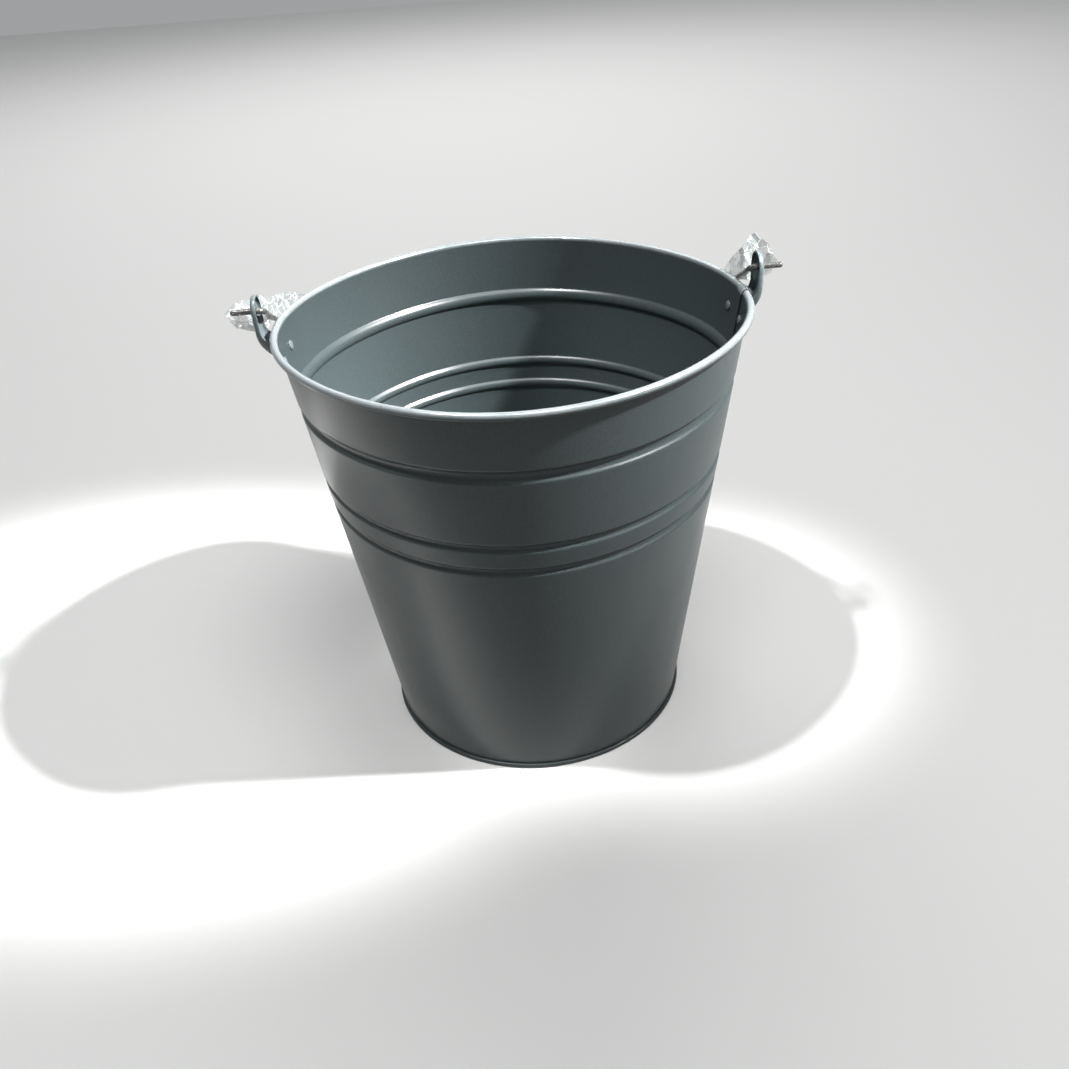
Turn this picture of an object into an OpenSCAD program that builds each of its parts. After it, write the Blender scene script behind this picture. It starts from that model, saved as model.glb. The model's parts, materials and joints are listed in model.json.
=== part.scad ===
// Florist bucket: a tapered sheet-metal bucket with a wired rim, rolled beads,
// two riveted ears and a round wire bail that folds down behind the rim.
// Millimetres, +Z up. The origin is the middle of the foot ring, on the floor.
// The bail swings about the X axis, and the side seam is on the +X side.

/* [Bucket] */
// Height from the floor to the top of the rim
bucket_h = 285; // [230:1:345]
// Diameter over the rolled rim
rim_d = 290; // [240:1:350]
// Outer diameter of the wall where its line meets the floor
wall_foot_d = 204; // [170:1:230]
// Thickness of the wall and base sheet
sheet_t = 0.6; // [0.4:0.1:0.8]

/* [Rim] */
// Diameter of the wire inside the rolled rim
rim_wire_d = 3.2; // [2.4:0.1:4.2]
// Radial gap between the rim wire and the sheet rolled around it
rim_wire_gap = 0.1; // [0.05:0.05:0.2]
// Angle of the rolled edge left open where it comes back to the wall
curl_open = 70; // [50:5:90]

/* [Beads] */
// Distance from the top of the rim down to the wide bead's middle
wide_bead_drop = 41; // [37:1:50]
// Width of the wide bead
wide_bead_w = 8.4; // [6:0.2:10]
// Depth of the wide bead
wide_bead_depth = 2.3; // [1.2:0.1:2.8]
// Distance from the top of the rim down to the upper narrow bead's middle
narrow_bead_drop = 90; // [80:1:130]
// Distance between the two narrow beads
narrow_bead_pitch = 17.2; // [14:0.2:24]
// Width of a narrow bead
narrow_bead_w = 6.2; // [4:0.2:7.4]
// Depth of a narrow bead
narrow_bead_depth = 1.8; // [1:0.1:2]

/* [Seam] */
// Angle that the side seam's two layers overlap
lap_angle = 3.4; // [2:0.1:3.6]

/* [Base] */
// Height of the base sheet's underside above the floor
base_rise = 7; // [5:0.5:14]
// Thickness of the rolled foot bead
foot_bead_d = 3.4; // [2.8:0.1:4]
// Gap between the base's skirt and the wall around it
skirt_gap = 0.05; // [0.02:0.01:0.1]
// How deep the foot bead is pressed flat where it stands
foot_flat = 0.2; // [0.1:0.05:0.3]

/* [Ears] */
// Width of an ear at its eye
ear_w = 19.2; // [16:0.2:21]
// Sheet thickness of an ear
ear_t = 1.2; // [1:0.1:1.6]
// Height of the eye above the middle of the rolled rim
eye_rise = 13.5; // [12:0.5:17]
// How much wider the eye is than the bail's wire
eye_play = 2.4; // [1.6:0.1:3.4]
// Distance from the rolled rim to the ear's flat outer face
ear_reach = 8.4; // [8:0.1:10]
// Gap between the ear's turned-in hood and the bail's arm
hood_gap = 0.6; // [0.4:0.1:1.6]
// Gap between a rivet's head and the ear's side
rivet_side_gap = 0.4; // [0.2:0.1:1]
// Distance from the middle of the rolled rim down to the rivets
rivet_drop = 14.5; // [14:0.5:17]

/* [Rivets] */
// Diameter of a rivet's shank
rivet_d = 3.6; // [3:0.1:4]
// Diameter of a rivet's heads
rivet_head_d = 6.4; // [5.6:0.1:7]
// Height of a rivet's heads
rivet_head_h = 1.5; // [1:0.1:2]
// Radial gap around a rivet's shank
rivet_gap = 0.1; // [0.05:0.05:0.2]

/* [Bail] */
// Diameter of the bail's wire
bail_wire_d = 3.6; // [3:0.1:4]
// Gap between the rim's diameter and the bail's arms
bail_clear = 0.2; // [0.1:0.1:0.8]
// Length of the bail's straight arms, from the pivot to the bow
bail_arm = 11; // [10:0.5:20]
// Radius of the bend between an arm and its pivot
bail_bend_r = 4; // [3.5:0.1:4.4]
// How far the bail's ends stick out past the ears
bail_stub = 13; // [8:0.5:18]
// Gap left between the folded bail and the wall
bail_rest_gap = 3.2; // [0.3:0.1:5]

/* [Packing film] */
// Thickness of the crumpled film's envelope
film_t = 0.8; // [0.6:0.1:1.2]
// Gap between the film and the bail's wire
film_gap = 0.6; // [0.4:0.1:1]
// Length of the film along the bail's arm
film_len = 40; // [30:1:60]
// Width of the film across the end of the bail
film_w = 16; // [12:1:18]
// Width of the film's strip along the arm, from the arm's middle
film_strip_w = 4; // [3:0.5:5]
// Gap between the film and the ear
film_ear_gap = 1.2; // [0.8:0.1:2]

/* [Hidden] */
$fn = 96;

// The rolled rim: a tube of sheet around the rim wire.
curl_in_r = rim_wire_d / 2 + rim_wire_gap;
curl_r = curl_in_r + sheet_t;
rim_r = rim_d / 2 - curl_r;
rim_z = bucket_h - curl_r;

// The wall's outer line starts at the floor and ends tangent to the rolled rim's bore.
wall_run = rim_r - wall_foot_d / 2;
wall_lean = atan2(wall_run, rim_z) - asin(curl_in_r / norm([wall_run, rim_z]));
wall_skin = sheet_t / cos(wall_lean);
wall_top_z = rim_z + curl_in_r * sin(wall_lean);
function wall_r(z) = wall_foot_d / 2 + z * tan(wall_lean);
function under_wall(z, depth) =
    [wall_r(z) - depth * cos(wall_lean), z + depth * sin(wall_lean)];

// How far a cutting shape reaches past what it cuts.
cut_over = 1;

// The wall is a touch thinner than the rolled edge that it runs up into.
wall_ease = 0.02;
wall_tuck = 0.3;

// The side seam's second layer runs from just above the base to just under the rim.
lap_gap = 0.4;
lap_end_z = base_rise + sheet_t + lap_gap;
lap_top_z = wall_top_z - 2;

// The base's skirt lines the wall's lower end and rolls outwards into the foot bead under it.
foot_r = foot_bead_d / 2;
foot_z = foot_r - foot_flat;
function skirt_r(z) = wall_r(z) - wall_skin - skirt_gap;
foot_ring_r = skirt_r(foot_z) - wall_skin + foot_r;
wall_end_z = foot_z + foot_r + skirt_gap;

// Each bead is an arc, bitten in from the wall's outer line: its height, width and depth.
function cap_r(w, depth) = (w * w / 4 + depth * depth) / (2 * depth);
beads = [
    [bucket_h - wide_bead_drop, wide_bead_w, wide_bead_depth],
    [bucket_h - narrow_bead_drop, narrow_bead_w, narrow_bead_depth],
    [bucket_h - narrow_bead_drop - narrow_bead_pitch, narrow_bead_w, narrow_bead_depth]
];

// The bail's wire: two arms outside the rim, and a round bow that clears it.
bail_r = bail_wire_d / 2;
arm_x = rim_d / 2 + bail_clear + bail_r;
bow_reach = arm_x + bail_arm;

// A rivet clamps the wall and the ear's band between its heads, beside the ear.
ear_half = ear_w / 2;
band_gap = 0.05;
rivet_z = rim_z - rivet_drop;
rivet_grip = sheet_t + band_gap + ear_t;
rivet_slack = 0.06;
rivet_angle = asin((ear_half + rivet_side_gap + rivet_head_d / 2) / wall_r(rivet_z));

// The ear: its flat outer face, its hood over the arm, and its eye.
ear_x = rim_d / 2 + ear_reach;
hood_x = arm_x + bail_r + hood_gap;
eye_z = rim_z + eye_rise;
eye_d = bail_wire_d + eye_play;
stub_end_x = ear_x + bail_stub - bail_r;

// The ear bends at a knee beside the rim, and slopes in to the band that hugs the wall.
knee_z = rim_z - 4;
band_top = rivet_z + 6;
band_end = rivet_z - 7.5;
band_angle = rivet_angle + 2.6;
band_skin = ear_t / cos(wall_lean);
band_lap = 1;
slope_end_t = 2.2;
slope_knee_t = 0.6;
cheek_gap = 1;
function band_r(z) = wall_r(z) + band_gap;

// How far down the bail rests, folded back against the wall.
rest_room = wall_r(rim_z) + eye_rise * tan(wall_lean) + (bail_r + bail_rest_gap) / cos(wall_lean);
rest_tilt = wall_lean + acos(rest_room * cos(wall_lean) / bow_reach);

// The film passes the ear beyond the corner of the ear's side.
film_lift = bail_r + film_gap;
film_corner = 4;
film_side_gap = 0.5;
film_out = ear_x + film_ear_gap;
film_in = arm_x - bail_r + film_side_gap;
film_pass = (ear_half + film_side_gap + (film_lift + film_t) * sin(rest_tilt)) / cos(rest_tilt);

// Both sides of the bucket: 0 is +X, where the seam is, and 180 is -X.
module at_side(left) {
    rotate([0, 0, left ? 180 : 0]) children();
}

// The strip between two depths under the wall's outer line, from one height to another.
module wall_strip(near, far, low, high) {
    polygon([
        [wall_r(low) - near / cos(wall_lean), low],
        under_wall(high, near),
        under_wall(high, far),
        [wall_r(low) - far / cos(wall_lean), low]
    ]);
}

// The sheet's outline between two depths under the wall's outer line and between two
// heights, with the beads rolled inwards.
module sheet_outline(near, far, low, top) {
    difference() {
        union() {
            wall_strip(near - cut_over, far, low, top);
            for (bead = beads)
                bead_arc(bead, far);
        }
        wall_strip(-rim_r, near, 0, top + cut_over);
        for (bead = beads)
            bead_arc(bead, near);
    }
}

// The round of one bead, grown by a depth.
module bead_arc(bead, grow) {
    r = cap_r(bead[1], bead[2]);
    out = r - bead[2];
    translate([wall_r(bead[0]) + out * cos(wall_lean), bead[0] - out * sin(wall_lean)])
        circle(r + grow);
}

// The rolled edge: it starts where the wall touches the wire's bore, and is open at its end.
module curl_outline() {
    far = 2 * curl_r;
    translate([rim_r, rim_z])
        difference() {
            circle(curl_r);
            circle(curl_in_r);
            rotate(180 - wall_lean)
                polygon([[0, 0], [far, 0], [far, far], [far * cos(curl_open), far * sin(curl_open)]]);
        }
}

// The holes that both rivets of a side pass through.
module rivet_holes(left) {
    for (side = [-1, 1])
        at_rivet(left, side)
            cylinder(h = 4 * rivet_grip, d = rivet_d + 2 * rivet_gap, center = true);
}

// A rivet's own frame: +Z points out through the wall, and z = 0 is the wall's outer face.
module at_rivet(left, side) {
    at_side(left)
        rotate([0, 0, side * rivet_angle])
            translate([wall_r(rivet_z), 0, rivet_z])
                rotate([0, 90 + wall_lean, 0])
                    children();
}

module bucket_wall() {
    color([0.25, 0.28, 0.29])
        difference() {
            union() {
                rotate([0, 0, 90])
                    rotate_extrude() {
                        sheet_outline(wall_ease, sheet_t - wall_ease, wall_end_z, wall_top_z + wall_tuck);
                        curl_outline();
                    }
                rotate([0, 0, -lap_angle])
                    rotate_extrude(angle = lap_angle)
                        sheet_outline(sheet_t / 2, 2 * sheet_t, lap_end_z, lap_top_z);
            }
            rivet_holes(false);
            rivet_holes(true);
        }
}

// The base: a flat disc, its skirt, and the foot bead, pressed flat where it stands.
module base_outline() {
    base_top = base_rise + sheet_t;
    translate([0, base_rise])
        square([skirt_r(base_rise), sheet_t]);
    difference() {
        union() {
            polygon([
                [skirt_r(foot_z), foot_z],
                [skirt_r(base_top), base_top],
                [skirt_r(base_top) - wall_skin, base_top],
                [skirt_r(foot_z) - wall_skin, foot_z]
            ]);
            translate([foot_ring_r, foot_z])
                circle(foot_r);
        }
        translate([foot_ring_r, foot_z])
            circle(foot_r - sheet_t);
        translate([0, -foot_r])
            square([rim_d, foot_r]);
    }
}

module base_disc() {
    color([0.27, 0.30, 0.31])
        rotate_extrude()
            base_outline();
}

module rim_wire() {
    color([0.55, 0.56, 0.57])
        rotate_extrude()
            translate([rim_r, rim_z])
                circle(d = rim_wire_d);
}

// The ear's front outline, drawn with x across and y up from the eye.
module ear_front() {
    circle(ear_half);
    translate([-ear_half, knee_z - eye_z])
        square([ear_w, eye_z - knee_z]);
}

// One side wall of the ear, seen along Y: it clears the rolled rim and meets the band.
module ear_cheek() {
    polygon([
        [hood_x, eye_z],
        [ear_x, eye_z],
        [ear_x, knee_z],
        [band_r(band_end) + band_skin, band_end + band_lap],
        [band_r(band_end) + band_skin / 2, band_end + band_lap],
        [band_r(band_top) + band_skin / 2, band_top - band_lap],
        [band_r(band_top) + band_skin + cheek_gap, band_top - band_lap / 2],
        [rim_d / 2 + cheek_gap, rim_z - curl_r - cheek_gap],
        [hood_x, rim_z + curl_r]
    ]);
}

module ear(left) {
    color([0.26, 0.29, 0.30])
        difference() {
            at_side(left) {
                translate([ear_x, 0, eye_z])
                    rotate([90, 0, -90])
                        linear_extrude(ear_t)
                            ear_front();
                translate([ear_x, 0, eye_z])
                    rotate([90, 0, -90])
                        linear_extrude(ear_x - hood_x)
                            difference() {
                                circle(ear_half);
                                circle(ear_half - ear_t);
                                translate([-ear_w, -ear_w])
                                    square([2 * ear_w, ear_w]);
                            }
                for (side = [-1, 1])
                    translate([0, side * (ear_half - ear_t / 2) + ear_t / 2, 0])
                        rotate([90, 0, 0])
                            linear_extrude(ear_t)
                                ear_cheek();
                translate([0, ear_half, 0])
                    rotate([90, 0, 0])
                        linear_extrude(ear_w)
                            polygon([
                                [ear_x, knee_z],
                                [band_r(band_end) + band_skin, band_end],
                                [band_r(band_end) + band_skin, band_end + slope_end_t],
                                [ear_x - ear_t, knee_z + slope_knee_t]
                            ]);
                rotate([0, 0, -band_angle])
                    rotate_extrude(angle = 2 * band_angle)
                        polygon([
                            [band_r(band_end), band_end],
                            [band_r(band_end) + band_skin, band_end],
                            [band_r(band_top) + band_skin, band_top],
                            [band_r(band_top), band_top]
                        ]);
            }
            translate([0, 0, eye_z])
                rotate([0, 90, 0])
                    cylinder(h = 2 * stub_end_x, d = eye_d, center = true);
            rivet_holes(left);
        }
}

module ear_left() {
    ear(true);
}

module ear_right() {
    ear(false);
}

// One rivet: a domed head on each side of the sheets.
module rivet() {
    translate([0, 0, -sheet_t - rivet_slack])
        cylinder(h = rivet_grip + 2 * rivet_slack, d = rivet_d);
    translate([0, 0, band_gap + ear_t + rivet_slack])
        rivet_head();
    translate([0, 0, -sheet_t - rivet_slack])
        mirror([0, 0, 1])
            rivet_head();
}

// A domed head on z = 0.
module rivet_head() {
    r = cap_r(rivet_head_d, rivet_head_h);
    intersection() {
        translate([0, 0, rivet_head_h - r])
            sphere(r);
        cylinder(h = rivet_head_h + cut_over, d = rivet_head_d);
    }
}

module rivets(left) {
    color([0.34, 0.37, 0.38])
        for (side = [-1, 1])
            at_rivet(left, side)
                rivet();
}

module rivets_left() {
    rivets(true);
}

module rivets_right() {
    rivets(false);
}

// The bail's frame: the X axis runs through both eyes, and +Y points along the arms.
module at_bail() {
    translate([0, 0, eye_z])
        rotate([-rest_tilt, 0, 0])
            children();
}

// One end of the bail: an arm, a tight bend and the stub that passes through the eye.
module bail_end() {
    translate([arm_x, bail_bend_r, 0])
        rotate([-90, 0, 0])
            cylinder(h = bail_arm - bail_bend_r, r = bail_r);
    translate([arm_x + bail_bend_r, bail_bend_r, 0])
        rotate([0, 0, 180])
            rotate_extrude(angle = 90)
                translate([bail_bend_r, 0])
                    circle(bail_r);
    translate([arm_x + bail_bend_r, 0, 0])
        rotate([0, 90, 0])
            cylinder(h = stub_end_x - arm_x - bail_bend_r, r = bail_r);
    translate([stub_end_x, 0, 0])
        sphere(bail_r);
}

module bail() {
    color([0.30, 0.33, 0.34])
        at_bail() {
            bail_end();
            mirror([1, 0, 0])
                bail_end();
            translate([0, bail_arm, 0])
                rotate_extrude(angle = 180)
                    translate([arm_x, 0])
                        circle(bail_r);
        }
}

// The film's envelope on the +X side, lying along the upper side of the wire.
module film() {
    translate([0, 0, film_lift])
        linear_extrude(film_t)
            polygon([
                [film_out, -bail_wire_d],
                [film_out + film_w, -bail_wire_d],
                [film_out + film_w, film_pass + film_corner],
                [arm_x + film_strip_w, film_pass + film_corner],
                [arm_x + film_strip_w, film_len],
                [film_in, film_len],
                [film_in, film_pass],
                [film_out, film_pass]
            ]);
}

module film_left() {
    color([0.85, 0.87, 0.87, 0.5])
        at_bail()
            mirror([1, 0, 0])
                film();
}

module film_right() {
    color([0.85, 0.87, 0.87, 0.5])
        at_bail()
            film();
}

bucket_wall();
base_disc();
rim_wire();
ear_left();
ear_right();
rivets_left();
rivets_right();
bail();
film_left();
film_right();
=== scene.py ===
import bpy
import json
from math import asin, atan2, cos, hypot, pi, radians, sin, sqrt, tan
from mathutils import Matrix, Vector, noise


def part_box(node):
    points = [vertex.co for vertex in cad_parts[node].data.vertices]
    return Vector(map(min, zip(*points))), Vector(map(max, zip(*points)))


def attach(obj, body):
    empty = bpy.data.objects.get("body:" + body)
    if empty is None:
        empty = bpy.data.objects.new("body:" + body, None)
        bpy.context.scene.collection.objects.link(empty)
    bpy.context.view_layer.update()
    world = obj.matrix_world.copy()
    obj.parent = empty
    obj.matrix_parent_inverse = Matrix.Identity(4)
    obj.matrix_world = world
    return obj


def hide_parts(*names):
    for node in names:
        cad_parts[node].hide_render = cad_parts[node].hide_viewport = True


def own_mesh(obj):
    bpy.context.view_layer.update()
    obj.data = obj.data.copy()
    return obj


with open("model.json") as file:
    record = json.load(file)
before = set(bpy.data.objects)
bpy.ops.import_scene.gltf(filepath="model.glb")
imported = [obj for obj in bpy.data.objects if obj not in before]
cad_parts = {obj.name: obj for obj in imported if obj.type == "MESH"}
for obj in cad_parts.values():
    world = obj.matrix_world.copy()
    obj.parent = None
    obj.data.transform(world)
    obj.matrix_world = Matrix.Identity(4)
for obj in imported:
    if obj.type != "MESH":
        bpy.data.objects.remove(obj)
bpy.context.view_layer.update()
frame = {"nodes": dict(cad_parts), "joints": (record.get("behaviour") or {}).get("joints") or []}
mm = 0.001

# Sizes shared by the pieces, taken from the frame where it has them.

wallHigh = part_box("bucket_wall")[1]
wireLow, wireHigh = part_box("rim_wire")
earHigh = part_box("ear_right")[1]
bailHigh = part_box("bail")[1]
eye = Vector(frame["joints"][0]["pos_m"])

rimWire = (wireHigh.z - wireLow.z) / 2  # radius of the wire in the rolled rim
rimZ = (wireLow.z + wireHigh.z) / 2
rimRadius = wireHigh.x - rimWire
curlRadius = wallHigh.z - rimZ

shape = {
    "sheet": 0.6 * mm,        # wall and base sheet
    "footRadius": 102 * mm,   # where the wall's outer line meets the floor
    "wallEnd": 3.3 * mm,      # the wall stops just above the foot bead
    "outOfRound": 0.012,      # share of the radius, at the rim, that a thin bucket is off round
    "outOfRoundTurn": radians(-2.5),
    "seamLap": radians(3.4),
}
curlBore = curlRadius - shape["sheet"]
wallRun = rimRadius - shape["footRadius"]
lean = atan2(wallRun, rimZ) - asin(curlBore / hypot(wallRun, rimZ))
restTilt = (radians(frame["joints"][0]["range_deg"][1]) - pi) / 2  # how far down the bail rests


def wallAt(z):
    return shape["footRadius"] + z * tan(lean)


def outOfRound(point):
    # A thin rolled rim is never quite round. The ears and the foot stay where they are.
    around = atan2(point.y, point.x) - shape["outOfRoundTurn"]
    share = shape["outOfRound"] * (cos(4 * around) - cos(2 * around)) * max(0, point.z) / rimZ
    return Vector((point.x * (1 + share), point.y * (1 + share), point.z))


def blendStep(low, high, value):
    t = min(1, max(0, (value - low) / (high - low)))
    return t * t * (3 - 2 * t)


# Camera.

cameraSet = {
    "away": 579.9 * mm,
    "high": 493.25 * mm,
    "around": radians(-2.5),   # a little to the left of straight in front
    "down": radians(32.77),
    "yaw": radians(0.42),
    "roll": radians(-4.12),
    "lens": 33.37,
}


def makeCamera():
    data = bpy.data.cameras.new("camera")
    data.lens = cameraSet["lens"]
    data.sensor_width = 36
    camera = bpy.data.objects.new("camera", data)
    bpy.context.scene.collection.objects.link(camera)
    place = Matrix.Translation((0, -cameraSet["away"], cameraSet["high"]))
    turn = (Matrix.Rotation(-cameraSet["yaw"], 4, "Z")
            @ Matrix.Rotation(pi / 2 - cameraSet["down"], 4, "X")
            @ Matrix.Rotation(cameraSet["roll"], 4, "Z"))
    camera.matrix_world = Matrix.Rotation(cameraSet["around"], 4, "Z") @ place @ turn
    bpy.context.scene.camera = camera


makeCamera()
print("camera set")


# Modelling helpers.

def selectOnly(obj):
    bpy.ops.object.select_all(action="DESELECT")
    obj.select_set(True)
    bpy.context.view_layer.objects.active = obj


def namePiece(name):
    piece = bpy.context.active_object
    piece.name = name
    piece.data.name = name
    return piece


def applyPlace(piece):
    selectOnly(piece)
    bpy.ops.object.transform_apply(location=True, rotation=True, scale=True)


def drawProfile(name, points):
    # One vertex, drawn out along the points.
    bpy.ops.object.select_all(action="DESELECT")
    bpy.ops.mesh.primitive_plane_add(size=mm, location=points[0])
    piece = namePiece(name)
    applyPlace(piece)
    bpy.ops.object.mode_set(mode="EDIT")
    bpy.ops.mesh.select_all(action="SELECT")
    bpy.ops.mesh.merge(type="CENTER")
    for start, end in zip(points, points[1:]):
        bpy.ops.mesh.extrude_region_move(TRANSFORM_OT_translate={"value": end - start})
    bpy.ops.object.mode_set(mode="OBJECT")
    return piece


def spinProfile(piece, steps, angle=2 * pi):
    selectOnly(piece)
    bpy.ops.object.mode_set(mode="EDIT")
    bpy.ops.mesh.select_all(action="SELECT")
    bpy.ops.mesh.spin(steps=steps, angle=angle, center=(0, 0, 0), axis=(0, 0, 1))
    bpy.ops.mesh.select_all(action="SELECT")
    bpy.ops.mesh.remove_doubles(threshold=0.01 * mm)
    bpy.ops.mesh.normals_make_consistent(inside=False)
    bpy.ops.object.mode_set(mode="OBJECT")
    return piece


def addModifier(piece, kind, **settings):
    selectOnly(piece)
    modifier = piece.modifiers.new(kind.lower(), kind)
    for name, value in settings.items():
        setattr(modifier, name, value)
    bpy.ops.object.modifier_apply(modifier=modifier.name)


def moveVertices(piece, place):
    for vertex in piece.data.vertices:
        vertex.co = place(vertex.co)


def joinPieces(name, pieces):
    bpy.ops.object.select_all(action="DESELECT")
    for piece in pieces:
        piece.select_set(True)
    bpy.context.view_layer.objects.active = pieces[0]
    bpy.ops.object.join()
    return namePiece(name)


def copyPiece(piece, name):
    copied = piece.copy()
    copied.data = piece.data.copy()
    copied.name = name
    copied.data.name = name
    bpy.context.scene.collection.objects.link(copied)
    return copied


def placePiece(piece, matrix):
    piece.data.transform(matrix)
    if matrix.determinant() < 0:
        piece.data.flip_normals()


def smoothShade(piece, angle):
    selectOnly(piece)
    bpy.ops.object.shade_smooth_by_angle(angle=radians(angle))


def alongRound(centre, radius, start, end, steps):
    # Points on an arc in the XZ plane.
    turns = [start + (end - start) * step / steps for step in range(steps + 1)]
    return [Vector((centre[0] + radius * cos(a), 0, centre[1] + radius * sin(a))) for a in turns]


# Materials.

def colour(code):
    # From an sRGB hex value to linear.
    parts = [int(code[i:i + 2], 16) / 255 for i in (0, 2, 4)]
    return tuple(p / 12.92 if p <= 0.04045 else ((p + 0.055) / 1.055) ** 2.4 for p in parts) + (1,)


def addNode(tree, kind, links=(), **settings):
    # Settings name either a property or, with _ for a space, an input.
    node = tree.nodes.new(kind)
    for name, value in settings.items():
        if hasattr(node, name):
            setattr(node, name, value)
        else:
            node.inputs[name.replace("_", " ")].default_value = value
    for name, source in dict(links).items():
        tree.links.new(source, node.inputs[name])
    return node


def newMaterial(name):
    material = bpy.data.materials.new(name)
    material.use_nodes = True
    tree = material.node_tree
    shader = tree.nodes["Principled BSDF"]
    place = addNode(tree, "ShaderNodeTexCoord").outputs["Object"]
    return material, tree, shader, place


def noiseAt(tree, place, size, detail=3, roughness=0.5):
    # size is the real size of a blotch, in metres
    node = addNode(tree, "ShaderNodeTexNoise", {"Vector": place},
                   Scale=1 / size, Detail=detail, Roughness=roughness)
    return node.outputs["Fac"]


def spread(tree, value, low, high, toLow, toHigh):
    node = addNode(tree, "ShaderNodeMapRange", {"Value": value},
                   From_Min=low, From_Max=high, To_Min=toLow, To_Max=toHigh)
    return node.outputs["Result"]


def mixColour(tree, factor, first, second):
    node = addNode(tree, "ShaderNodeMix", data_type="RGBA")
    tree.links.new(factor, node.inputs[0])
    for socket, value in ((node.inputs[6], first), (node.inputs[7], second)):
        if isinstance(value, bpy.types.NodeSocket):
            tree.links.new(value, socket)
        else:
            socket.default_value = value
    return node.outputs[2]


def maths(tree, operation, first, second):
    node = addNode(tree, "ShaderNodeMath", operation=operation)
    for socket, value in zip(node.inputs, (first, second)):
        if isinstance(value, bpy.types.NodeSocket):
            tree.links.new(value, socket)
        else:
            socket.default_value = value
    return node.outputs[0]


def bumpFrom(tree, height, depth):
    # depth is the real depth of the relief, in metres
    return addNode(tree, "ShaderNodeBump", {"Height": height}, Strength=1, Distance=depth).outputs["Normal"]


def satinPaint(name, dark, light, wearAndHighlightFrom=None, wearAndHighlightTo=None, grain=0.9 * mm):
    # Stoved anthracite paint on steel sheet: satin, with a fine sprayed grain, slow shifts in
    # sheen where it was handled. Over a given band of height the paint is lighter and partly
    # metallic: in part paint rubbed thin on a proud edge, in part a painted highlight on the top.
    material, tree, shader, place = newMaterial(name)
    fine = noiseAt(tree, place, grain, 2, 0.6)
    slow = noiseAt(tree, place, 55 * mm, 3)
    scuff = noiseAt(tree, place, 7 * mm, 6, 0.7)
    tone = spread(tree, fine, 0.3, 0.7, 0, 1)
    base = mixColour(tree, tone, colour(dark), colour(light))
    rough = maths(tree, "ADD", spread(tree, slow, 0.3, 0.7, 0.29, 0.36),
                  spread(tree, scuff, 0.35, 0.7, -0.008, 0.012))
    metal = None
    if wearAndHighlightFrom is not None:
        # The top of the height band is lighter: part rubbed-thin paint, part painted highlight.
        height = addNode(tree, "ShaderNodeSeparateXYZ", {"Vector": place}).outputs["Z"]
        edge = spread(tree, height, wearAndHighlightFrom, wearAndHighlightTo, 0, 1)
        wearAndHighlight = maths(tree, "MULTIPLY", edge, spread(tree, scuff, 0.3, 0.6, 0.55, 1))
        base = mixColour(tree, wearAndHighlight, base, colour("82888a"))
        metal = maths(tree, "MULTIPLY", wearAndHighlight, 0.55)
        rough = maths(tree, "SUBTRACT", rough, maths(tree, "MULTIPLY", wearAndHighlight, 0.1))
    tree.links.new(base, shader.inputs["Base Color"])
    tree.links.new(rough, shader.inputs["Roughness"])
    shader.inputs["Specular IOR Level"].default_value = 0.35
    if metal is not None:
        tree.links.new(metal, shader.inputs["Metallic"])
    shader.inputs["IOR"].default_value = 1.5
    tree.links.new(bumpFrom(tree, fine, 0.012 * mm), shader.inputs["Normal"])
    return material


def wirePaint(name):
    # Dip-painted drawn wire: a thinner, browner coat that has rubbed through in flecks.
    material, tree, shader, place = newMaterial(name)
    fleck = noiseAt(tree, place, 1.6 * mm, 5, 0.75)
    fine = noiseAt(tree, place, 0.6 * mm, 2)
    rubbed = spread(tree, fleck, 0.56, 0.64, 0, 1)
    base = mixColour(tree, rubbed, colour("393836"), colour("b2b2ae"))
    tree.links.new(base, shader.inputs["Base Color"])
    tree.links.new(maths(tree, "MULTIPLY", rubbed, 0.8), shader.inputs["Metallic"])
    tree.links.new(spread(tree, fine, 0.3, 0.7, 0.2, 0.32), shader.inputs["Roughness"])
    tree.links.new(bumpFrom(tree, fleck, 0.03 * mm), shader.inputs["Normal"])
    return material


def bareWire(name):
    # Drawn steel wire: bright, with fine draw marks. It shows only where the rim's roll is open.
    material, tree, shader, place = newMaterial(name)
    marks = noiseAt(tree, place, 0.5 * mm, 4, 0.7)
    tree.links.new(mixColour(tree, marks, colour("8e9092"), colour("c4c6c8")), shader.inputs["Base Color"])
    shader.inputs["Metallic"].default_value = 1
    tree.links.new(spread(tree, marks, 0.3, 0.7, 0.25, 0.42), shader.inputs["Roughness"])
    return material


def clearFilm(name):
    # Thin clear packing film: see-through facets of differing haze, with white crease lines
    # between them, and a shiny face.
    material, tree, shader, place = newMaterial(name)
    facet = addNode(tree, "ShaderNodeTexVoronoi", {"Vector": place}, Scale=1 / (6.5 * mm))
    crease = addNode(tree, "ShaderNodeTexVoronoi", {"Vector": place},
                     feature="DISTANCE_TO_EDGE", Scale=1 / (6.5 * mm))
    tone = addNode(tree, "ShaderNodeSeparateColor", {"Color": facet.outputs["Color"]}).outputs["Red"]
    line = spread(tree, crease.outputs["Distance"], 0, 0.07, 1, 0)
    fine = noiseAt(tree, place, 1.8 * mm, 3)
    haze = maths(tree, "ADD", spread(tree, tone, 0, 1, 0.12, 0.46), spread(tree, fine, 0.3, 0.7, -0.06, 0.06))
    tree.links.new(mixColour(tree, line, colour("676e6e"), colour("b4b9b9")), shader.inputs["Base Color"])
    tree.links.new(maths(tree, "MAXIMUM", haze, maths(tree, "MULTIPLY", line, 0.7)), shader.inputs["Alpha"])
    shader.inputs["Roughness"].default_value = 0.14
    shader.inputs["IOR"].default_value = 1.49
    tree.links.new(bumpFrom(tree, line, 0.12 * mm), shader.inputs["Normal"])
    return material


# The rim curl's top is painted lighter: part rubbed-thin paint, part painted highlight where the light falls
# on it.
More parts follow.
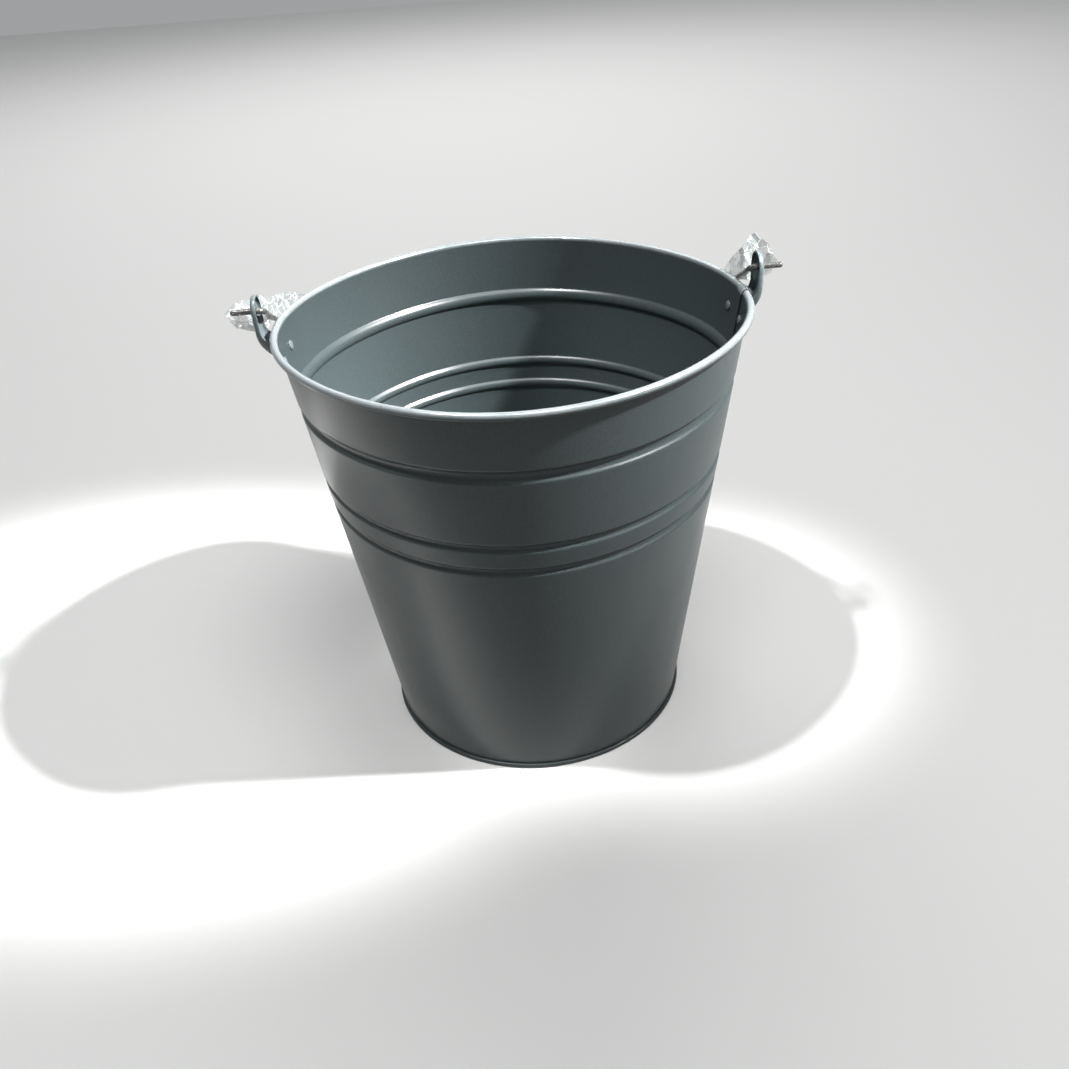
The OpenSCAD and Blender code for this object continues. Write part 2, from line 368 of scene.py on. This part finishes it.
wallPaint = satinPaint("satin_paint_sheet", "252a2b", "2e3637", rimZ - 0.6 * mm, rimZ + 1.3 * mm)
footPaint = satinPaint("satin_paint_base", "252a2b", "2e3637")
# The ears wear the same anthracite paint as the wall; this lighter copy is painted light, for the light they
# catch.
earPaintLitLighter = satinPaint("satin_paint_ears_painted_light", "434a4c", "555d5f", grain=0.7 * mm)
rivetPaint = satinPaint("satin_paint_rivets", "3e4547", "505759", grain=0.6 * mm)
wireCoat = wirePaint("dipped_paint_wire")
drawnWire = bareWire("drawn_steel_wire")
filmPlastic = clearFilm("clear_packing_film")
print("materials made")


def finishPiece(piece, body, material, nodes):
    piece.data.materials.clear()
    piece.data.materials.append(material)
    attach(piece, body)
    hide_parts(*nodes)


# The wall: one sheet with three rolled beads and a rolled rim.

wallSet = {
    "around": 224,
    "beads": ((244 * mm, 8.4 * mm, 2.3 * mm), (195 * mm, 6.2 * mm, 1.8 * mm),
              (177.8 * mm, 6.2 * mm, 1.8 * mm)),  # height, width and depth of each
    "beadEase": 0.55 * mm,     # the roller's edges leave soft shoulders
    "coarse": 12 * mm,
    "fine": 0.4 * mm,
    "curlSteps": 26,
    "curlOpen": radians(70),
    "wave": 0.22 * mm,        # how far the sheet wanders from a true cone
    "waveSize": 70 * mm,
    "seamLift": 0.9 * mm,
}


def beadDepth(z):
    depth = 0
    for middle, width, deep in wallSet["beads"]:
        radius = (width * width / 4 + deep * deep) / (2 * deep)
        for step in range(-4, 5):
            t = abs(z - middle + wallSet["beadEase"] * step / 4)
            if t < width / 2:
                depth += (sqrt(radius * radius - t * t) - (radius - deep)) / 9
    return depth


def wallHeights(top):
    heights = [shape["wallEnd"]]
    while heights[-1] < top:
        z = heights[-1]
        near = min(max(0, abs(z - b[0]) - b[1] / 2 - wallSet["beadEase"]) for b in wallSet["beads"])
        heights.append(min(top, z + min(wallSet["coarse"], max(wallSet["fine"], near * 0.7))))
    return heights


def wallProfile(inset, withCurl):
    # The sheet's middle line, moved inwards by inset: up the wall and over the rim's wire.
    skin = (shape["sheet"] / 2 + inset) / cos(lean)
    top = rimZ + (curlRadius - shape["sheet"] / 2) * sin(lean)
    points = [Vector((wallAt(z) - skin - beadDepth(z), 0, z)) for z in wallHeights(top - 0.5 * mm)]
    if withCurl:
        middle = curlRadius - shape["sheet"] / 2 + inset
        points += alongRound((rimRadius, rimZ), middle, pi - lean,
                             wallSet["curlOpen"] - pi - lean, wallSet["curlSteps"])
    return points


def sheetWave(point):
    if point.z > rimZ - 12 * mm:
        return outOfRound(point)
    push = wallSet["wave"] * noise.noise(point / wallSet["waveSize"])
    push *= blendStep(rimZ - 12 * mm, rimZ - 40 * mm, point.z) * blendStep(0, 30 * mm, point.z)
    outwards = Vector((point.x, point.y, 0)).normalized()
    return outOfRound(point + outwards * push)


def makeWall():
    wall = spinProfile(drawProfile("wall_sheet", wallProfile(0, True)), wallSet["around"])
    addModifier(wall, "SOLIDIFY", thickness=shape["sheet"], offset=0)
    lap = drawProfile("wall_lap", wallProfile(shape["sheet"] + wallSet["seamLift"] / 2, True))
    spinProfile(lap, 6, shape["seamLap"])
    addModifier(lap, "SOLIDIFY", thickness=shape["sheet"], offset=0)
    wall = joinPieces("wall_sheet", [wall, lap])
    moveVertices(wall, sheetWave)
    smoothShade(wall, 40)
    finishPiece(wall, "bucket", wallPaint, ["bucket_wall"])
    print("wall made:", len(wall.data.polygons), "faces")


makeWall()


# The wire in the rim.

def makeRimWire():
    bpy.ops.object.select_all(action="DESELECT")
    bpy.ops.mesh.primitive_torus_add(major_segments=192, minor_segments=16, location=(0, 0, rimZ),
                                     major_radius=rimRadius, minor_radius=rimWire)
    wire = namePiece("wire_in_rim")
    applyPlace(wire)
    moveVertices(wire, outOfRound)
    smoothShade(wire, 60)
    finishPiece(wire, "bucket", drawnWire, ["rim_wire"])


makeRimWire()


# The ears: pressed leaves with a turned-in hood, riveted on by two wings.

earSet = {
    "sheet": 1.1 * mm,
    "eyeRadius": 3 * mm,
    "halfWidth": 9.6 * mm,
    "rings": ((4.6, 0), (6.4, 0), (7.9, 0.03), (8.7, 0.1), (9.2, 0.24), (9.5, 0.45), (9.6, 0.7), (9.6, 1)),
    "hoodDepth": 4 * mm,
    "tip": 261.5 * mm,       # height of the leaf's lower tip
    "knee": 280 * mm,        # where the leaf starts to slope in to the wall
    "toeLength": 4 * mm,     # the leaf's flat end against the wall
    "crown": 1.2 * mm,       # the face bulges by half of this in the middle
    "faceBack": 0.6 * mm,
    "hoodEdge": 16.1 * mm,   # the hood's edge, back from the end of the bail
    "cheekGap": 0.3 * mm,    # between the turned edge and the wall
    "cheekLow": 273 * mm,    # the turned edge leaves the wall here
    "cheekHigh": 284 * mm,   # and has reached the hood's edge here
    "wingWidth": 38 * mm,
    "wingHeight": 13.5 * mm,
    "wingZ": 267.6 * mm,
    "gap": 0.1 * mm,
}


def earPlace(point):
    # From a round cup with a hole to the leaf: the lower half is drawn down and laid on the wall.
    out = earSet["halfWidth"] - earSet["sheet"] / 2
    drop = point.z - eye.z
    radius = hypot(point.y, drop)
    turned = (earHigh.x - earSet["sheet"] / 2 - point.x) / earSet["hoodDepth"]
    if drop < 0:
        stretch = (eye.z - earSet["tip"]) / out
        drop *= 1 + (stretch - 1) * blendStep(earSet["eyeRadius"], out, radius)
    z = eye.z + drop
    lay = wallAt(z) + earSet["gap"] + earSet["sheet"] * 0.6
    face = earHigh.x - earSet["sheet"] / 2
    slope = blendStep(earSet["knee"], earSet["tip"] - earSet["toeLength"], z)
    face += (lay - face) * slope
    rounded = earSet["crown"] * (1 - (radius / out) ** 2) * (1 - slope)
    hood = bailHigh.x - earSet["hoodEdge"]
    near = lay + earSet["cheekGap"]
    edge = near + (hood - near) * blendStep(earSet["cheekLow"], earSet["cheekHigh"], z)
    edge = min(edge, face - earSet["gap"])
    return Vector((face + (edge - face) * turned - earSet["faceBack"] + rounded / 2, point.y, z))


def makeEarShape():
    bpy.ops.object.select_all(action="DESELECT")
    start = Vector((earHigh.x - earSet["sheet"] / 2, 0, eye.z))
    bpy.ops.mesh.primitive_circle_add(vertices=60, radius=earSet["eyeRadius"], location=start,
                                      rotation=(0, pi / 2, 0))
    leaf = namePiece("ear")
    applyPlace(leaf)
    bpy.ops.object.mode_set(mode="EDIT")
    bpy.ops.mesh.select_all(action="SELECT")
    radius, depth = earSet["eyeRadius"], 0
    trim = (earSet["halfWidth"] - earSet["sheet"] / 2) / earSet["halfWidth"]
    for newRadius, newDepth in earSet["rings"]:
        newRadius *= mm * trim
        back = (depth - newDepth) * earSet["hoodDepth"]
        bpy.ops.mesh.extrude_region_move(TRANSFORM_OT_translate={"value": (back, 0, 0)})
        grow = newRadius / radius
        bpy.ops.transform.resize(value=(1, grow, grow), center_override=start)
        radius, depth = newRadius, newDepth
    bpy.ops.mesh.select_all(action="SELECT")
    bpy.ops.mesh.normals_make_consistent(inside=False)
    bpy.ops.object.mode_set(mode="OBJECT")
    moveVertices(leaf, earPlace)
    addModifier(leaf, "SOLIDIFY", thickness=earSet["sheet"], offset=0, use_even_offset=True)
    addModifier(leaf, "BEVEL", width=0.22 * mm, segments=2, limit_method="ANGLE", angle_limit=radians(50))
    addModifier(leaf, "SUBSURF", levels=1, render_levels=1)
    return leaf


def wingPlace(point):
    # A flat strip with round ends, wrapped on the wall.
    half = earSet["wingWidth"] / 2
    along = point.x / half
    across = point.y * (1 - abs(along) ** 3.4) ** 0.45 if abs(along) < 1 else 0
    z = earSet["wingZ"] + across
    out = wallAt(z) + earSet["gap"] + earSet["sheet"] / 2 + point.z
    angle = point.x / wallAt(earSet["wingZ"])
    return Vector((out * cos(angle), out * sin(angle), z))


def makeEars():
    leaf = makeEarShape()
    bpy.ops.object.select_all(action="DESELECT")
    bpy.ops.mesh.primitive_grid_add(x_subdivisions=36, y_subdivisions=10, size=1)
    wings = namePiece("wings")
    wings.scale = (earSet["wingWidth"] * 0.998, earSet["wingHeight"], 1)
    applyPlace(wings)
    moveVertices(wings, wingPlace)
    addModifier(wings, "SOLIDIFY", thickness=earSet["sheet"], offset=0)
    addModifier(wings, "BEVEL", width=0.25 * mm, segments=2, limit_method="ANGLE", angle_limit=radians(50))
    ear = joinPieces("ear_pressing_right", [leaf, wings])
    smoothShade(ear, 45)
    other = copyPiece(ear, "ear_pressing_left")
    placePiece(other, Matrix.Rotation(pi, 4, "Z"))
    finishPiece(ear, "bucket", earPaintLitLighter, ["ear_right"])
    finishPiece(other, "bucket", earPaintLitLighter, ["ear_left"])
    print("ears made:", len(ear.data.polygons), "faces each")


makeEars()


# The rivets: a domed head outside, a flatter hammered one inside.

rivetSet = {
    "shank": 1.8 * mm,
    "head": 3.2 * mm,
    "headHeight": 1.5 * mm,
    "tailHeight": 1.3 * mm,
    "angle": radians(5.45),
    "z": 268.2 * mm,
    "grip": (0.66 * mm, 1.31 * mm),  # under the sheet's outer face, and over it
}


def makeRivets():
    head, shank = rivetSet["head"], rivetSet["shank"]
    inside, outside = -rivetSet["grip"][0], rivetSet["grip"][1]
    dome = [(0, 1), (0.35, 0.95), (0.62, 0.8), (0.84, 0.55), (0.96, 0.28), (1, 0.08), (0.97, 0)]
    points = [Vector((r * head, 0, outside + h * rivetSet["headHeight"])) for r, h in dome]
    points += [Vector((shank, 0, outside)), Vector((shank, 0, inside))]
    points += [Vector((r * head * 0.97, 0, inside - h ** 0.6 * rivetSet["tailHeight"]))
               for r, h in reversed(dome)]
    rivet = spinProfile(drawProfile("rivet", points), 32)
    for side, node, start in (("right", "rivets_right", 0), ("left", "rivets_left", pi)):
        pair = []
        for sign in (-1, 1):
            one = copyPiece(rivet, "rivet_one")
            turn = Matrix.Rotation(start + sign * rivetSet["angle"], 4, "Z")
            lay = Matrix.Rotation(pi / 2 + lean, 4, "Y")
            spot = Matrix.Translation((wallAt(rivetSet["z"]), 0, rivetSet["z"]))
            placePiece(one, turn @ spot @ lay)
            pair.append(one)
        both = joinPieces("rivet_pair_" + side, pair)
        smoothShade(both, 40)
        finishPiece(both, "bucket", rivetPaint, [node])
    bpy.data.objects.remove(rivet)
    print("rivets made")


makeRivets()


# The bail: one bent wire.

bailSet = {
    "wire": 1.8 * mm,
    "armX": 147 * mm,
    "arm": 11 * mm,
    "bend": 4 * mm,
    "sides": 20,
    # rounded ends: distance from the end and radius, as shares of the wire's radius
    "endRound": ((0, 0.35), (0.12, 0.62), (0.35, 0.86), (0.7, 0.98), (1.1, 1)),
}


def makeBail():
    # Drawn flat round the pivot, from the right stub to the left one, then laid down.
    # Spin turns clockwise for a positive angle.
    wire, armX, arm, bend = (bailSet[k] for k in ("wire", "armX", "arm", "bend"))
    stubEnd = bailHigh.x
    endRound = bailSet["endRound"]
    bpy.ops.object.select_all(action="DESELECT")
    bpy.ops.mesh.primitive_circle_add(vertices=bailSet["sides"], radius=wire * endRound[0][1],
                                      fill_type="NGON", location=(stubEnd, 0, 0), rotation=(0, pi / 2, 0))
    bail = namePiece("bail_wire")
    applyPlace(bail)
    bpy.ops.object.mode_set(mode="EDIT")
    bpy.ops.mesh.select_all(action="SELECT")
    x, radius = stubEnd, wire * endRound[0][1]

    def stretchTo(newX, newRadius, y=0):
        nonlocal x, radius
        bpy.ops.mesh.extrude_region_move(TRANSFORM_OT_translate={"value": (newX - x, 0, 0)})
        grow = newRadius / radius
        bpy.ops.transform.resize(value=(1, grow, grow), center_override=(newX, y, 0))
        x, radius = newX, newRadius

    for back, share in endRound[1:]:
        stretchTo(stubEnd - back * wire, wire * share)
    stretchTo(armX + bend, wire)
    bpy.ops.mesh.spin(steps=10, angle=pi / 2, center=(armX + bend, bend, 0), axis=(0, 0, 1))
    bpy.ops.mesh.extrude_region_move(TRANSFORM_OT_translate={"value": (0, arm - bend, 0)})
    bpy.ops.mesh.spin(steps=120, angle=-pi, center=(0, arm, 0), axis=(0, 0, 1))
    bpy.ops.mesh.extrude_region_move(TRANSFORM_OT_translate={"value": (0, bend - arm, 0)})
    bpy.ops.mesh.spin(steps=10, angle=pi / 2, center=(-armX - bend, bend, 0), axis=(0, 0, 1))
    x, radius = -armX - bend, wire
    for back, share in reversed(endRound):
        stretchTo(-stubEnd + back * wire, wire * share)
    bpy.ops.mesh.select_all(action="SELECT")
    bpy.ops.mesh.remove_doubles(threshold=0.01 * mm)
    bpy.ops.mesh.normals_make_consistent(inside=False)
    bpy.ops.object.mode_set(mode="OBJECT")
    placePiece(bail, Matrix.Translation(eye) @ Matrix.Rotation(-restTilt, 4, "X"))
    smoothShade(bail, 50)
    finishPiece(bail, "bail", wireCoat, ["bail"])
    print("bail made:", [round(v / mm, 1) for v in bail.dimensions])


makeBail()


# The packing film: a folded, crumpled scrap round each end of the bail.

filmSet = {
    "fold": 2.4 * mm,         # between its two layers
    "behindEar": 15.5 * mm,   # along the bail's arm, past the ear
    "besideRim": 147.8 * mm,
    "tuck": 9 * mm,           # the outer end lies this much nearer the bail's end
    "tuckFrom": 156 * mm,
    "tuckTo": 166 * mm,
    "crumple": 1.7 * mm,
    "columns": 10,
    "rows": 8,
    # distance from the middle, top edge, bottom edge, in millimetres over the pivot
    "left": ((171, 2, 1), (168, 5, -5), (163, 8, -8), (157, 11, -9), (152, 11, -10),
             (147, 12, -4), (143, 17, 5), (137, 22, 15), (132, 21, 20)),
    "right": ((166, 4, 3), (163, 11, -1), (160, 17, -3), (157, 24, -5), (154, 23, -6),
              (150, 18, -7), (146, 15, -2), (143, 12, 4), (141, 7, 6)),
}


def alongOutline(rows, share):
    place = share * (len(rows) - 1)
    index = min(int(place), len(rows) - 2)
    part = place - index
    return [a + (b - a) * part for a, b in zip(rows[index], rows[index + 1])]


def makeFilm(name, node, rows, sign, seed):
    bpy.ops.object.select_all(action="DESELECT")
    bpy.ops.mesh.primitive_grid_add(x_subdivisions=filmSet["columns"], y_subdivisions=filmSet["rows"], size=1)
    film = namePiece(name)

    def lay(point):
        across, top, bottom = (v * mm for v in alongOutline(rows, point.x + 0.5))
        up = point.y + 0.5
        height = bottom + (top - bottom) * (1 - abs(2 * up - 1))
        back = filmSet["fold"] * blendStep(0.4, 0.6, up)
        reach = filmSet["behindEar"]
        reach -= filmSet["tuck"] * blendStep(filmSet["tuckFrom"], filmSet["tuckTo"], across)
        if across < filmSet["besideRim"]:
            y = sqrt(filmSet["besideRim"] ** 2 - across ** 2)
            reach = max(reach, (y - height * sin(restTilt)) / cos(restTilt))
        return Vector((across * sign, reach + back, height))

    moveVertices(film, lay)
    bpy.ops.object.mode_set(mode="EDIT")
    bpy.ops.mesh.select_all(action="SELECT")
    bpy.ops.mesh.quads_convert_to_tris(quad_method="BEAUTY", ngon_method="BEAUTY")
    bpy.ops.transform.vertex_random(offset=filmSet["crumple"], uniform=0, normal=0, seed=seed)
    bpy.ops.mesh.subdivide(number_cuts=1, fractal=0.5, fractal_along_normal=1, seed=seed + 5)
    bpy.ops.object.mode_set(mode="OBJECT")
    placePiece(film, Matrix.Translation(eye) @ Matrix.Rotation(-restTilt, 4, "X"))
    smoothShade(film, 12)
    finishPiece(film, "bail", filmPlastic, [node])
    area = sum(face.area for face in film.data.polygons)
    width = abs(rows[0][0] - rows[-1][0]) * mm
    print(name, "area", round(area * 1e6), "mm2, width", round(width / mm, 1))
    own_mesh(film)
    return area, width


for filmName, filmNode, filmSide, filmSeed in (("film_scrap_left", "film_left", -1, 3),
                                               ("film_scrap_right", "film_right", 1, 8)):
    outline = filmSet["left" if filmSide < 0 else "right"]
    filmArea, filmWidth = makeFilm(filmName, filmNode, outline, filmSide, filmSeed)


# The base keeps its design shape.

baseNode = frame["nodes"]["base_disc"]
baseNode.data.materials.clear()
baseNode.data.materials.append(footPaint)


# Floor and light.

studio = {
    "floor": "dcdcda",
    "world": 0.36,
    "key": 19,           # soft box overhead, a little in front
    "keySize": 1,
    "keyPlace": (0.2, -0.6, 1.85),
    "keyAim": (0, 0, 0.1),
    "back": 55,          # wide soft box over the floor behind
    "backSize": 3,
    "backPlace": (0, 2.5, 2.3),
    "backAim": (0, 2.5, 0),
    # snooted lamps that reach down inside the bucket
    "right": {"power": 2500, "cone": radians(10.2), "around": radians(-14), "up": radians(45),
              "soft": 0.13, "aim": (-0.03, 0, 0.25)},
    "high": {"power": 1000, "cone": radians(7.8), "around": radians(-160), "up": radians(70),
             "soft": 0.1, "aim": (0, 0, 0.27)},
    "lampAway": 2,
}


def addLight(name):
    place, aim = Vector(studio[name + "Place"]), Vector(studio[name + "Aim"])
    data = bpy.data.lights.new(name, "AREA")
    data.shape = "DISK"
    data.size = studio[name + "Size"]
    data.energy = studio[name]
    light = bpy.data.objects.new(name, data)
    light.location = place
    light.rotation_euler = (aim - place).to_track_quat("-Z", "Y").to_euler()
    bpy.context.scene.collection.objects.link(light)


def addLamp(name):
    lampSet = studio[name]
    data = bpy.data.lights.new(name, "SPOT")
    data.energy = lampSet["power"]
    data.spot_size = lampSet["cone"]
    data.spot_blend = 1
    data.shadow_soft_size = lampSet["soft"]
    lamp = bpy.data.objects.new(name, data)
    around, up = lampSet["around"], lampSet["up"]
    towards = Vector((cos(around) * cos(up), sin(around) * cos(up), sin(up)))
    lamp.location = Vector(lampSet["aim"]) + towards * studio["lampAway"]
    lamp.rotation_euler = towards.to_track_quat("Z", "Y").to_euler()
    bpy.context.scene.collection.objects.link(lamp)


def makeStudio():
    bpy.ops.object.select_all(action="DESELECT")
    bpy.ops.mesh.primitive_plane_add(size=12)
    floor = namePiece("studio_floor")
    paint, tree, shader, place = newMaterial("pale_floor")
    shader.inputs["Base Color"].default_value = colour(studio["floor"])
    shader.inputs["Roughness"].default_value = 0.8
    floor.data.materials.append(paint)
    world = bpy.data.worlds.new("studio")
    world.use_nodes = True
    world.node_tree.nodes["Background"].inputs["Color"].default_value = (0.96, 0.98, 1, 1)
    world.node_tree.nodes["Background"].inputs["Strength"].default_value = studio["world"]
    bpy.context.scene.world = world
    addLight("key")
    addLight("back")
    addLamp("right")
    addLamp("high")
    bpy.context.scene.view_settings.view_transform = "Standard"


makeStudio()
print("studio made")
